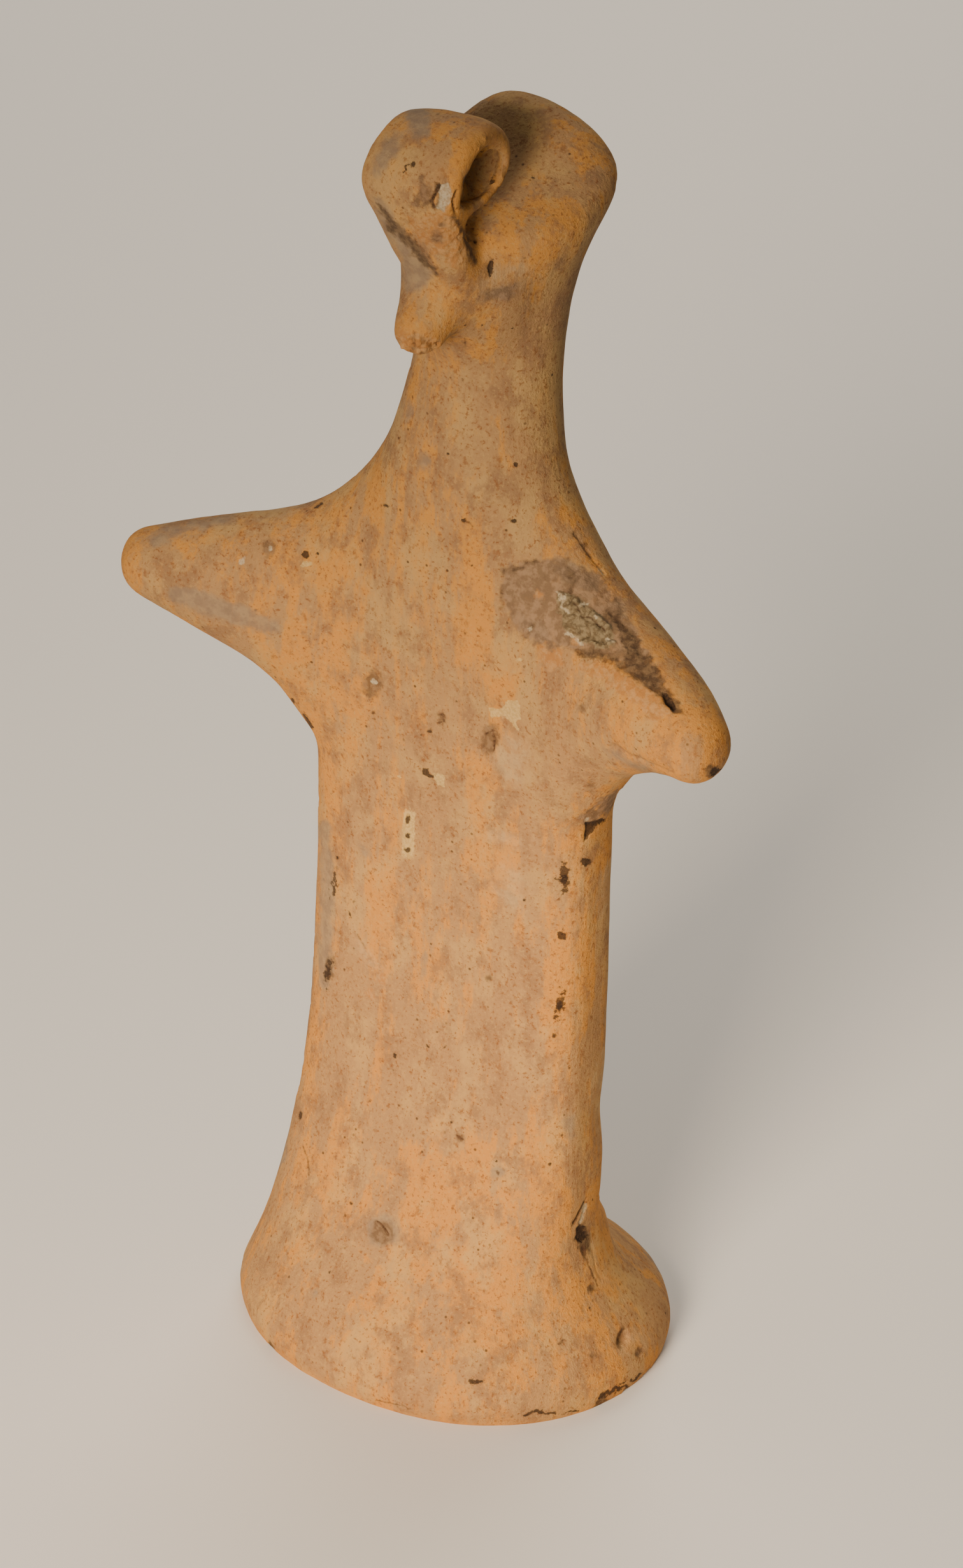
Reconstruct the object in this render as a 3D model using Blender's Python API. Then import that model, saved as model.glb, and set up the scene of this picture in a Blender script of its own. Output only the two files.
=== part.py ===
"""A terracotta figurine, hand modelled from one lump of clay, standing on a flared skirt.

Metres, +Z up. The figure looks towards -Y and its left arm points to +X. The origin is the
centre of the flat underside. The trunk, the arms, the beak-like face and the roll over the brow are
lofted apart, then fused and smoothed into one solid, as fingers smooth wet clay.
"""

import math
from collections import namedtuple

import bmesh
import bpy
import numpy as np
from mathutils import Vector

HEIGHT = 0.1812
# The tables below count in shares of the height, which is 181.2 of them from the floor to the roll's top.
SHARE = HEIGHT / 181.2
RIGHT_ARM_LEVEL = 104.5 * SHARE
LEFT_ARM_LEVEL = 105.8 * SHARE

BASE_WIDTH = 0.0584
BASE_DEPTH = 0.0508
BODY_WIDTH = 0.0407
BODY_DEPTH = 0.0150
NECK_WIDTH = 0.0210
NECK_DEPTH = 0.0160
CREST_WIDTH = 0.0260
RIGHT_ARM_REACH = 0.0466
LEFT_ARM_REACH = 0.0433
ARM_FORWARD = 0.0113
ROLL_WIDTH = 0.0150
ROLL_THICKNESS = 0.0046
BEAK_WIDTH = 0.0064

CLAY_GRAIN = 0.0008
SMOOTH_PASSES = 12
CHEST_PASSES = 28
BROW_PASSES = 24
FACET_COUNT = 7600
RING_POINTS = 48
STEPS = 5

Ring = namedtuple("Ring", "centre across along squareness")
Level = namedtuple("Level", "height left right front back squareness")
Place = namedtuple("Place", "reach top bottom front back squareness")
Turn = namedtuple("Turn", "forward height shift tilt width thickness")

# The skirt is a round flare: half widths and half depths are counted against the base's own half sizes.
SKIRT = (
    Level(-6.0, 0.94, 0.93, 0.92, 0.92, 2.1),
    Level(-3.0, 0.96, 0.95, 0.94, 0.94, 2.1),
    Level(0.0, 0.985, 0.97, 0.96, 0.96, 2.1),
    Level(2.2, 1.00, 0.99, 0.985, 0.985, 2.1),
    Level(4.5, 0.975, 0.98, 0.965, 0.95, 2.1),
    Level(8.0, 0.92, 0.92, 0.90, 0.81, 2.1),
    Level(13.0, 0.845, 0.82, 0.77, 0.60, 2.2),
    Level(19.0, 0.785, 0.75, 0.62, 0.43, 2.4),
)
# The body is a thick board with rounded edges.
BODY = (
    Level(28.0, 1.06, 1.04, 1.60, 1.18, 2.8),
    Level(38.0, 1.02, 1.015, 1.24, 1.06, 3.3),
    Level(50.0, 1.0, 1.0, 1.08, 1.01, 3.6),
    Level(65.0, 1.0, 1.0, 1.01, 1.0, 3.6),
    Level(80.0, 1.0, 1.0, 1.03, 1.01, 3.4),
    Level(95.0, 0.98, 0.98, 1.08, 1.06, 3.0),
    Level(107.0, 0.88, 0.88, 1.10, 1.10, 2.6),
)
NECK = (
    Level(118.0, 1.32, 1.32, 1.02, 1.02, 2.3),
    Level(126.0, 1.18, 1.18, 1.02, 1.06, 2.1),
    Level(132.0, 1.10, 1.10, 0.97, 1.10, 2.0),
    Level(137.0, 1.00, 1.00, 0.87, 1.18, 2.0),
    Level(143.0, 0.94, 0.94, 0.74, 1.26, 2.0),
    Level(148.0, 0.90, 0.96, 0.82, 1.31, 2.0),
    Level(153.0, 0.92, 1.03, 0.98, 1.38, 2.0),
    Level(158.0, 0.98, 1.14, 1.10, 1.52, 2.0),
)
# The crest flares up behind the roll and leans back.
CREST = (
    Level(163.0, 0.86, 1.06, 1.20, 1.60, 2.05),
    Level(166.3, 0.86, 1.15, 1.00, 1.64, 2.2),
    Level(168.6, 0.80, 1.12, 0.25, 1.64, 2.4),
    Level(171.0, 0.66, 0.93, -0.38, 1.62, 2.5),
    Level(173.0, 0.50, 0.69, -0.66, 1.58, 2.5),
    Level(174.3, 0.36, 0.46, -0.85, 1.50, 2.4),
    Level(175.2, 0.20, 0.22, -1.02, 1.38, 2.2),
)
# The cheeks make a wedge: below a squareness of 2 the flanks run straight from beak to neck.
CHEEKS = (
    Level(145.0, 0.60, 0.66, 0.78, 0.30, 1.8),
    Level(149.0, 0.68, 0.78, 1.02, 0.30, 1.6),
    Level(153.0, 0.74, 0.88, 1.30, 0.30, 1.5),
    Level(157.0, 0.78, 0.95, 1.50, 0.30, 1.5),
    Level(160.5, 0.78, 0.95, 1.58, 0.30, 1.5),
    Level(162.5, 0.74, 0.88, 1.50, 0.30, 1.5),
)


def rows_between(rows, steps):
    """More rows on a smooth curve through the given ones, with steps new spans for each old one."""
    rows = np.array(rows, float)
    gaps = np.linalg.norm(np.diff(rows[:, :3], axis=0), axis=1)
    at = np.concatenate([[0.0], np.cumsum(gaps)])
    slopes = np.gradient(rows, at, axis=0)
    made = []
    for i in range(len(rows) - 1):
        for k in range(steps):
            t = k / steps
            length = at[i + 1] - at[i]
            made.append(
                rows[i] * (2 * t**3 - 3 * t**2 + 1)
                + slopes[i] * length * (t**3 - 2 * t**2 + t)
                + rows[i + 1] * (3 * t**2 - 2 * t**3)
                + slopes[i + 1] * length * (t**3 - t**2)
            )
    made.append(rows[-1])
    return made


def ring_of(row):
    return Ring(Vector(row[0:3]), Vector(row[3:6]), Vector(row[6:9]), row[9])


def ring_points(ring):
    """A superellipse: 2 is a plain ellipse, and a larger squareness fills its corners."""
    points = []
    for k in range(RING_POINTS):
        angle = 2 * math.pi * k / RING_POINTS
        c, s = math.cos(angle), math.sin(angle)
        power = 2 / ring.squareness
        u = math.copysign(abs(c) ** power, c)
        v = math.copysign(abs(s) ** power, s)
        points.append(ring.centre + ring.across * u + ring.along * v)
    return points


def domed(rows, length):
    """The rows with a rounded tip added past the last one."""
    end = rows[-1]
    way = Vector(end[0:3]) - Vector(rows[-2][0:3])
    way.normalize()
    tip = []
    for k in range(1, STEPS + 1):
        angle = math.pi / 2 * k / (STEPS + 0.5)
        row = np.array(end, float)
        row[0:3] += np.array(way) * length * math.sin(angle)
        row[3:9] *= math.cos(angle)
        tip.append(row)
    return list(rows) + tip


def lofted(name, rows):
    """A closed mesh object through the rows' rings, with a flat fan at each end."""
    bm = bmesh.new()
    rings = [[bm.verts.new(p) for p in ring_points(ring_of(row))] for row in rows]
    for low, high in zip(rings, rings[1:]):
        for k in range(RING_POINTS):
            m = (k + 1) % RING_POINTS
            bm.faces.new((low[k], low[m], high[m], high[k]))
    bm.faces.new(rings[0][::-1])
    bm.faces.new(rings[-1])
    bmesh.ops.recalc_face_normals(bm, faces=bm.faces)
    mesh = bpy.data.meshes.new(name)
    bm.to_mesh(mesh)
    bm.free()
    obj = bpy.data.objects.new(name, mesh)
    bpy.context.scene.collection.objects.link(obj)
    return obj


def level_row(level, half_width, half_depth):
    left, right = level.left * half_width, level.right * half_width
    front, back = level.front * half_depth, level.back * half_depth
    return [
        (right - left) / 2, (back - front) / 2, level.height * SHARE,
        (right + left) / 2, 0, 0,
        0, (back + front) / 2, 0,
        level.squareness,
    ]


def cheeks():
    rows = [level_row(level, NECK_WIDTH / 2, NECK_DEPTH / 2) for level in CHEEKS]
    return lofted("cheeks", rows_between(rows, STEPS))


def trunk():
    rows = [level_row(level, BASE_WIDTH / 2, BASE_DEPTH / 2) for level in SKIRT]
    rows += [level_row(level, BODY_WIDTH / 2, BODY_DEPTH / 2) for level in BODY]
    rows += [level_row(level, NECK_WIDTH / 2, NECK_DEPTH / 2) for level in NECK]
    rows += [level_row(level, CREST_WIDTH / 2, NECK_DEPTH / 2) for level in CREST]
    return lofted("trunk", rows_between(rows, STEPS))


# An arm's outline against its reach: it starts inside the body, and its root spreads into neck and side.
RIGHT_ARM = (
    Place(0.16, 40.0, -26.0, 7.4, 8.4, 2.2),
    Place(0.30, 21.2, -29.0, 6.4, 9.4, 2.2),
    Place(0.42, 13.9, -22.5, 5.9, 9.4, 2.2),
    Place(0.55, 9.9, -14.4, 5.7, 8.5, 2.1),
    Place(0.70, 7.7, -9.8, 5.7, 7.0, 2.0),
    Place(0.84, 5.7, -6.8, 5.2, 5.7, 2.0),
    Place(0.92, 4.4, -5.0, 4.5, 4.8, 2.0),
)
LEFT_ARM = (
    Place(0.16, 37.0, -26.0, 7.4, 8.4, 2.2),
    Place(0.30, 22.0, -30.0, 6.4, 9.4, 2.2),
    Place(0.42, 15.4, -24.5, 5.9, 9.4, 2.2),
    Place(0.55, 12.0, -14.2, 5.7, 9.1, 2.1),
    Place(0.70, 9.4, -8.2, 5.7, 7.8, 2.0),
    Place(0.84, 7.1, -5.2, 5.2, 6.2, 2.0),
    Place(0.92, 5.1, -4.1, 4.5, 4.8, 2.0),
)


def arm(name, places, side, reach, level):
    """An arm that leaves the body sideways and bends forward towards its tip."""
    rows = []
    for place in places:
        forward = ARM_FORWARD * place.reach**1.4
        slope = 1.4 * ARM_FORWARD / reach * place.reach**0.4
        ahead = Vector((-side * slope, -1, 0)).normalized()
        centre = Vector((side * place.reach * reach, -forward, level))
        centre += ahead * (place.front - place.back) / 2 * SHARE
        centre.z += (place.top + place.bottom) / 2 * SHARE
        across = Vector((0, 0, (place.top - place.bottom) / 2 * SHARE))
        along = ahead * (place.front + place.back) / 2 * SHARE
        rows.append([*centre, *across, *along, place.squareness])
    tip = (1 - places[-1].reach) * reach
    return lofted(name, domed(rows_between(rows, STEPS), tip))


# The roll's side view, from inside the brow up, over and back down to its own root.
ROLL = (
    Turn(3.2, 152.6, 1.2, 0.0, 0.62, 1.2),
    Turn(7.2, 156.0, 1.4, 0.0, 0.68, 1.25),
    Turn(10.2, 159.8, 1.3, 0.0, 0.70, 1.2),
    Turn(12.1, 163.8, 0.6, 0.0, 0.78, 1.15),
    Turn(13.6, 168.0, -0.2, 0.02, 0.86, 1.05),
    Turn(15.0, 171.8, -0.6, 0.06, 0.96, 1.0),
    Turn(14.9, 175.4, -0.2, 0.12, 1.0, 0.95),
    Turn(13.0, 178.0, 0.2, 0.14, 0.98, 0.93),
    Turn(10.0, 178.9, 0.3, 0.14, 0.96, 0.90),
    Turn(6.8, 177.7, 0.3, 0.13, 0.95, 0.80),
    Turn(5.1, 174.6, 0.3, 0.12, 0.94, 0.74),
    Turn(6.6, 171.2, 0.2, 0.12, 0.93, 0.78),
    Turn(10.2, 170.3, 0.1, 0.10, 0.90, 0.86),
    Turn(13.2, 171.6, -0.2, 0.08, 0.86, 0.90),
)


def side_view_rows(turns, width, thickness, squareness):
    """Rows that follow a path in the side view, each across X and square to the path."""
    path = [Vector((turn.shift * SHARE, -turn.forward * SHARE, turn.height * SHARE)) for turn in turns]
    rows = []
    for i, turn in enumerate(turns):
        way = path[min(i + 1, len(path) - 1)] - path[max(i - 1, 0)]
        way.x = 0
        way.normalize()
        across = Vector((1, 0, turn.tilt)) * turn.width * width / 2
        along = Vector((1, 0, 0)).cross(way) * turn.thickness * thickness / 2
        rows.append([*path[i], *across, *along, squareness])
    return rows


def roll():
    rows = rows_between(side_view_rows(ROLL, ROLL_WIDTH, ROLL_THICKNESS, 2.5), STEPS)
    return lofted("roll", rows)


BEAK = (
    Turn(3.4, 161.0, 0.2, 0.0, 2.7, 1.6),
    Turn(7.0, 158.8, 0.3, 0.0, 2.3, 1.4),
    Turn(10.0, 156.4, 0.3, 0.0, 1.6, 1.2),
    Turn(13.3, 153.0, 0.1, 0.0, 1.05, 1.0),
)


def beak():
    rows = rows_between(side_view_rows(BEAK, BEAK_WIDTH, BEAK_WIDTH, 2.1), STEPS)
    return lofted("beak", domed(rows, BEAK_WIDTH / 2))


def clay():
    material = bpy.data.materials.new("terracotta")
    material.use_nodes = True
    shader = material.node_tree.nodes["Principled BSDF"]
    shader.inputs["Base Color"].default_value = (0.56, 0.30, 0.15, 1)
    shader.inputs["Roughness"].default_value = 0.85
    shader.inputs["Metallic"].default_value = 0.0
    return material


def applied(obj):
    """Gives the object the mesh that its modifiers make, and removes them."""
    graph = bpy.context.evaluated_depsgraph_get()
    mesh = bpy.data.meshes.new_from_object(obj.evaluated_get(graph))
    obj.modifiers.clear()
    obj.data = mesh
    return obj


def fused(body, pieces):
    for piece in pieces:
        union = body.modifiers.new(piece.name, "BOOLEAN")
        union.operation = "UNION"
        union.object = piece
    applied(body)
    for piece in pieces:
        bpy.data.objects.remove(piece)
    return body


def chest_weight(point):
    """1 where the arms and neck join the body, falling to 0 at the arm tips, the waist and the chin."""
    across, up = abs(point.x) / SHARE, point.z / SHARE
    return max(0.0, min(1.0, (32 - across) / 8, (up - 58) / 12, (146 - up) / 8))


BROW_CENTRE = Vector((1.5, -9.0, 158.0))
BROW_REACH = 8.0


def brow_weight(point):
    """1 where brow, beak and cheeks meet, falling to 0 before the beak's tip and the roll."""
    away = (point / SHARE - BROW_CENTRE).length
    return max(0.0, min(1.0, (BROW_REACH - away) / 3))


def blended(body, name, weight_of, passes):
    """Smooths only where weight_of gives a point some weight."""
    group = body.vertex_groups.new(name=name)
    for vertex in body.data.vertices:
        weight = weight_of(vertex.co)
        if weight > 0:
            group.add([vertex.index], weight, "REPLACE")
    blend = body.modifiers.new(name, "SMOOTH")
    blend.factor = 0.5
    blend.iterations = passes
    blend.vertex_group = name
    applied(body)
    body.vertex_groups.clear()
    return body


def smoothed(body):
    remesh = body.modifiers.new("clay grain", "REMESH")
    remesh.mode = "VOXEL"
    remesh.voxel_size = CLAY_GRAIN
    smooth = body.modifiers.new("smoothing", "SMOOTH")
    smooth.factor = 0.5
    smooth.iterations = SMOOTH_PASSES
    applied(body)
    blended(body, "chest", chest_weight, CHEST_PASSES)
    return blended(body, "brow", brow_weight, BROW_PASSES)


def faceted(body):
    body.data.calc_loop_triangles()
    fewer = body.modifiers.new("facets", "DECIMATE")
    fewer.ratio = FACET_COUNT / len(body.data.loop_triangles)
    fewer.use_collapse_triangulate = True
    applied(body)
    return body


def cut_flat(body):
    """Cuts the skirt off on the floor, which leaves the flat underside."""
    bm = bmesh.new()
    bm.from_mesh(body.data)
    everything = bm.verts[:] + bm.edges[:] + bm.faces[:]
    cut = bmesh.ops.bisect_plane(
        bm, geom=everything, dist=1e-7, plane_co=(0, 0, 0), plane_no=(0, 0, -1), clear_outer=True
    )
    rim = [part for part in cut["geom_cut"] if isinstance(part, bmesh.types.BMEdge)]
    bmesh.ops.edgeloop_fill(bm, edges=rim)
    bmesh.ops.triangulate(bm, faces=bm.faces)
    bmesh.ops.recalc_face_normals(bm, faces=bm.faces)
    bm.to_mesh(body.data)
    bm.free()
    return body


def main():
    for obj in list(bpy.data.objects):
        bpy.data.objects.remove(obj)
    body = trunk()
    right_arm = arm("right_arm", RIGHT_ARM, -1, RIGHT_ARM_REACH, RIGHT_ARM_LEVEL)
    left_arm = arm("left_arm", LEFT_ARM, 1, LEFT_ARM_REACH, LEFT_ARM_LEVEL)
    fused(body, [right_arm, left_arm, cheeks(), beak(), roll()])
    cut_flat(faceted(smoothed(body)))
    body.name = "figurine"
    body.data.materials.clear()
    body.data.materials.append(clay())
    body.data.shade_smooth()
    body.data.set_sharp_from_angle(angle=math.radians(50))


main()
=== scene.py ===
"""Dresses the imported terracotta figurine: its skin, its paint and slip traces, and the studio.

The figurine is one lump of clay, shaped by hand and fired. Its solid is copied from the frame,
rounded like smoothed clay, marked with the pits, chips, scratches and paint remnants that the
photograph shows, and given a matt fired-clay finish. Lengths are millimetres unless a name or a
comment says otherwise. Marks are placed by the photograph's column and row where each is seen.
"""

import logging
import math
from dataclasses import dataclass, field
from enum import Enum
from typing import Any

import bmesh
import bpy
import numpy as np
from mathutils import Matrix, Vector, noise


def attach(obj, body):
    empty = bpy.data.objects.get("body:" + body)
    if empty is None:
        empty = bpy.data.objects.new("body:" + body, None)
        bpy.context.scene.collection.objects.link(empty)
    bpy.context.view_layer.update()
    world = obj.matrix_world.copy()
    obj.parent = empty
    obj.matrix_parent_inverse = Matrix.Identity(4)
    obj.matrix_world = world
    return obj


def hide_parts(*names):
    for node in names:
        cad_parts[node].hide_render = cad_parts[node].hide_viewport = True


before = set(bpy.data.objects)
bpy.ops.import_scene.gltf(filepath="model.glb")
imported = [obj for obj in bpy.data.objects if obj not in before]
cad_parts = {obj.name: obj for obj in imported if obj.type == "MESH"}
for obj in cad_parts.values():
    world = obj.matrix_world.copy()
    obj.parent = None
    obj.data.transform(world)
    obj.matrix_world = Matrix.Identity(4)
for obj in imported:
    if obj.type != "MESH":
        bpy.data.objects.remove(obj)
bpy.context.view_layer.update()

LOG = logging.getLogger("figurine")

MM = 0.001
FAR = 3.0  # the distance kept for points that lie far from every mark
PIXELS_PER_MM = 12.4  # how many of the photograph's pixels one millimetre fills at the figurine
HIDDEN_FACING = -0.2  # clay that faces the camera less than this is out of the photograph's sight
GRAZING_FACING = -0.05  # clay that faces it less than this takes no mark that the photograph shows
CORE_SHARE = 0.5  # the nearest clay under a mark is sought within this share of the mark's reach
CORE_PIXELS = 12.0  # and at least within this many pixels
DEPTH_SHARE = 1.6  # a mark goes this many times its reach behind the nearest clay
DEPTH_SPARE = 4.0  # and this many millimetres more
LONG_WANDER = 1.3  # the length of a ragged edge's larger waves
SHORT_WANDER = 0.55  # the length of its smaller waves
SHORT_SHARE = 0.5  # how strong the smaller waves are
FLECK_WANDER = 5.0  # a fleck's raggedness times this is the share of its radius that wanders
WIDE_EDGE = 0.9  # a slope wider than this needs no finer mesh

Socket = bpy.types.NodeSocket


def linear(hex_colour: str) -> tuple[float, float, float, float]:
    """Turns an sRGB hex colour to the linear colour that shaders use.

    Args:
        hex_colour: Six hex digits, such as "C8915A".

    Returns:
        Red, green, blue and an alpha of 1.
    """
    channels = [int(hex_colour[i : i + 2], 16) / 255 for i in (0, 2, 4)]
    made = [c / 12.92 if c <= 0.04045 else ((c + 0.055) / 1.055) ** 2.4 for c in channels]
    return (made[0], made[1], made[2], 1.0)


def smooth_step(values: np.ndarray, start: float, end: float) -> np.ndarray:
    """Eases from 0 at start to 1 at end, for either order of the two."""
    t = np.clip((values - start) / (end - start), 0.0, 1.0)
    return t * t * (3 - 2 * t)


@dataclass(frozen=True)
class PhotoView:
    """Where the photograph was taken from, and how its picture falls on the figurine.

    Attributes:
        azimuth: The camera's turn from the figurine's front to its left, in degrees.
        elevation: Its height above level, in degrees.
        roll: Its turn about its own axis, in degrees.
        right: Its place along its right direction.
        up: Its place along its up direction.
        back: Its place along its back direction.
        picture_width: The picture's width in pixels.
        picture_height: The picture's height in pixels.
        focal_pixels: The focal length in pixels.
        sensor: The sensor's longer side.
        nearest: How near the camera sees.
        farthest: How far it sees.
    """

    azimuth: float = 33.0
    elevation: float = 32.0
    roll: float = 1.5
    right: float = 3.5
    up: float = 69.1
    back: float = 1045.0
    picture_width: float = 1512.0
    picture_height: float = 2462.0
    focal_pixels: float = 12400.0
    sensor: float = 36.0
    nearest: float = 50.0
    farthest: float = 20000.0

    def axes(self) -> np.ndarray:
        """Works out how the camera is turned.

        Returns:
            Its right, up and back directions, as rows.
        """
        a, e, r = (math.radians(x) for x in (self.azimuth, self.elevation, self.roll))
        back = np.array([math.sin(a) * math.cos(e), -math.cos(a) * math.cos(e), math.sin(e)])
        level = np.array([math.cos(a), math.sin(a), 0.0])
        upright = np.cross(back, level)
        right = math.cos(r) * level + math.sin(r) * upright
        up = -math.sin(r) * level + math.cos(r) * upright
        return np.array([right, up, back])

    def eye(self) -> np.ndarray:
        """The camera's place."""
        return np.array([self.right, self.up, self.back]) @ self.axes()

    def seen(self, points: np.ndarray) -> np.ndarray:
        """Finds where points fall in the picture.

        Args:
            points: Places on the figurine, one per row.

        Returns:
            Column, row and depth of each point, the depth counted from the camera.
        """
        local = (points - self.eye()) @ self.axes().T
        depth = -local[:, 2]
        column = self.picture_width / 2 + self.focal_pixels * local[:, 0] / depth
        row = self.picture_height / 2 - self.focal_pixels * local[:, 1] / depth
        return np.stack([column, row, depth], axis=1)

    def facing(self, points: np.ndarray, normals: np.ndarray) -> np.ndarray:
        """Finds how squarely points face the camera.

        Args:
            points: Places on the figurine, one per row.
            normals: The directions that the clay faces there.

        Returns:
            1 for full on, 0 for edge on, less when turned away.
        """
        way = self.eye() - points
        way /= np.linalg.norm(way, axis=1, keepdims=True)
        return np.sum(way * normals, axis=1)

    def camera(self) -> bpy.types.Object:
        """Makes the camera at this view and gives it to the scene.

        Returns:
            The camera.
        """
        data = bpy.data.cameras.new("photo_view")
        data.sensor_width = self.sensor
        data.lens = self.sensor * self.focal_pixels / self.picture_height
        data.clip_start, data.clip_end = self.nearest * MM, self.farthest * MM
        camera = bpy.data.objects.new("photo_view", data)
        turn = Matrix(self.axes().T.tolist()).to_4x4()
        camera.matrix_world = Matrix.Translation(Vector(self.eye() * MM)) @ turn
        bpy.context.scene.collection.objects.link(camera)
        bpy.context.scene.camera = camera
        return camera


class Trace(Enum):
    """What a mark is, named as the mesh attribute that holds the distance to its edge."""

    PAINT = "dark_paint"
    SLIP = "cream_slip"
    CRACK_AND_SHADE = "crack_and_shade"
    GRAIN = "white_grain"
    WORN = "worn_paint"
    SPALL = "grey_spall"
    STAIN_AND_SHADE = "stain_and_shade"
    BLOOM = "pale_bloom"
    EROSION = "eroded_skin"
    CRUST = "lime_crust"
    RAW = "raw_clay"
    DIRT_AND_SHADE = "dark_dirt_and_shade"
    DENT = "dent"


@dataclass(frozen=True)
class Surface:
    """The clay's vertices as marks need them: places and normals, and how the camera sees them.

    Attributes:
        points: The places, one per row.
        normals: The directions that the clay faces.
        seen: Column, row and depth in the photograph.
        facing: How squarely each vertex faces the camera.
        wander: A wandering pair of values about -1 to 1, for ragged edges.
    """

    points: np.ndarray
    normals: np.ndarray
    seen: np.ndarray
    facing: np.ndarray
    wander: np.ndarray

    @classmethod
    def of(cls, bm: bmesh.types.BMesh, view: PhotoView) -> "Surface":
        """Reads the vertices of a mesh.

        Args:
            bm: The mesh, in metres.
            view: The photograph's viewpoint.

        Returns:
            The surface.
        """
        bm.normal_update()
        points = np.array([v.co for v in bm.verts]) / MM
        normals = np.array([v.normal for v in bm.verts])
        long = np.array([noise.noise_vector(Vector(p) / LONG_WANDER) for p in points])
        short = np.array([noise.noise_vector(Vector(p) / SHORT_WANDER) for p in points])
        wander = long[:, :2] + SHORT_SHARE * short[:, :2]
        return cls(points, normals, view.seen(points), view.facing(points, normals), wander)


@dataclass(frozen=True)
class Mark:
    """One mark on the clay.

    Attributes:
        trace: What the mark is.
        sink: How deep it lies in the clay, below 0 where it stands proud.
        edge: How wide the slope at its edge is.
        ragged: How far its edge wanders.
        lumps: How rough its floor is.
    """

    trace: Trace
    sink: float = 0.0
    edge: float = 0.35
    ragged: float = 0.12
    lumps: float = 0.0

    def near(self, surface: Surface, margin: float) -> np.ndarray:
        """Finds the clay that the mark can touch.

        Args:
            surface: The clay's vertices.
            margin: How far round the mark to look.

        Returns:
            The indices of the vertices.
        """
        raise NotImplementedError

    def distance(self, surface: Surface, near: np.ndarray) -> np.ndarray:
        """Measures how far vertices lie from the mark's edge.

        Args:
            surface: The clay's vertices.
            near: The indices of the vertices to measure.

        Returns:
            The distances, below 0 inside the mark.
        """
        raise NotImplementedError

    def needs_fine_mesh(self) -> bool:
        """Whether the mesh is refined here: not for soft colour or for wide dents."""
        soft = self.trace in (Trace.BLOOM, Trace.STAIN_AND_SHADE) and self.sink == 0
        return not soft and self.edge <= WIDE_EDGE


@dataclass(frozen=True)
class Fleck(Mark):
    """A round mark at a place on the clay, also where the photograph does not look."""

    place: tuple[float, float, float] = (0.0, 0.0, 0.0)
    radius: float = 1.0

    def near(self, surface: Surface, margin: float) -> np.ndarray:
        """See Mark.near."""
        away = np.linalg.norm(surface.points - self.place, axis=1)
        return np.nonzero(away < self.radius + margin)[0]

    def distance(self, surface: Surface, near: np.ndarray) -> np.ndarray:
        """See Mark.distance."""
        away = np.linalg.norm(surface.points[near] - self.place, axis=1)
        return away - self.radius * (1 + FLECK_WANDER * self.ragged * surface.wander[near, 0])


@dataclass(frozen=True)
class SeenMark(Mark):
    """A mark placed by the photograph: it falls on the clay that the camera sees there."""

    def middle(self) -> tuple[float, float]:
        """The column and row about which the mark lies."""
        raise NotImplementedError

    def reach(self) -> float:
        """How far the mark reaches from its middle, in pixels."""
        raise NotImplementedError

    def outline(self, columns: np.ndarray, rows: np.ndarray) -> np.ndarray:
        """Measures how far places lie from the mark's edge.

        Args:
            columns: How far right each place is in the picture, in the figurine's millimetres.
            rows: How far down.

        Returns:
            The distances, below 0 inside the mark.
        """
        raise NotImplementedError

    def near(self, surface: Surface, margin: float) -> np.ndarray:
        """Finds the clay that the mark can touch. What lies far behind the nearest is left out.

        Args:
            surface: The clay's vertices.
            margin: How far round the mark to look.

        Returns:
            The indices of the vertices.
        """
        column, row = self.middle()
        seen = surface.seen
        away = np.hypot(seen[:, 0] - column, seen[:, 1] - row)
        within = away < self.reach() + margin * PIXELS_PER_MM
        close = np.nonzero(within & (surface.facing > GRAZING_FACING))[0]
        if len(close) == 0:
            return close
        middle = close[away[close] < max(self.reach() * CORE_SHARE, CORE_PIXELS)]
        front = seen[middle if len(middle) else close, 2].min()
        deepest = front + self.reach() / PIXELS_PER_MM * DEPTH_SHARE + DEPTH_SPARE
        return close[seen[close, 2] < deepest]

    def distance(self, surface: Surface, near: np.ndarray) -> np.ndarray:
        """Measures how far vertices lie from the mark's edge, as the picture shows them.

        Args:
            surface: The clay's vertices.
            near: The indices of the vertices to measure.

        Returns:
            The distances, below 0 inside the mark.
        """
        shift = self.ragged * surface.wander[near]
        places = surface.seen[near, :2] / PIXELS_PER_MM + shift
        return self.outline(places[:, 0], places[:, 1])


@dataclass(frozen=True)
class Dab(SeenMark):
    """A rounded or squarish spot. Its lean is clockwise from upright, in degrees."""

    column: float = 0.0
    row: float = 0.0
    half_width: float = 0.3
    half_length: float = 0.3
    lean: float = 0.0
    squareness: float = 2.0

    def middle(self) -> tuple[float, float]:
        """The spot's centre."""
        return (self.column, self.row)

    def reach(self) -> float:
        """The longer half size, in pixels."""
        return max(self.half_width, self.half_length) * PIXELS_PER_MM

    def outline(self, columns: np.ndarray, rows: np.ndarray) -> np.ndarray:
        """Measures how far places lie from the spot's edge.

        Args:
            columns: How far right each place is in the picture, in the figurine's millimetres.
            rows: How far down.

        Returns:
            The distances, below 0 inside.
        """
        lean = math.radians(self.lean)
        u = columns - self.column / PIXELS_PER_MM
        v = self.row / PIXELS_PER_MM - rows
        across = u * math.cos(lean) - v * math.sin(lean)
        along = u * math.sin(lean) + v * math.cos(lean)
        power = self.squareness
        ratio = np.abs(across / self.half_width) ** power
        ratio += np.abs(along / self.half_length) ** power
        return (ratio ** (1 / power) - 1) * min(self.half_width, self.half_length)


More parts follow.
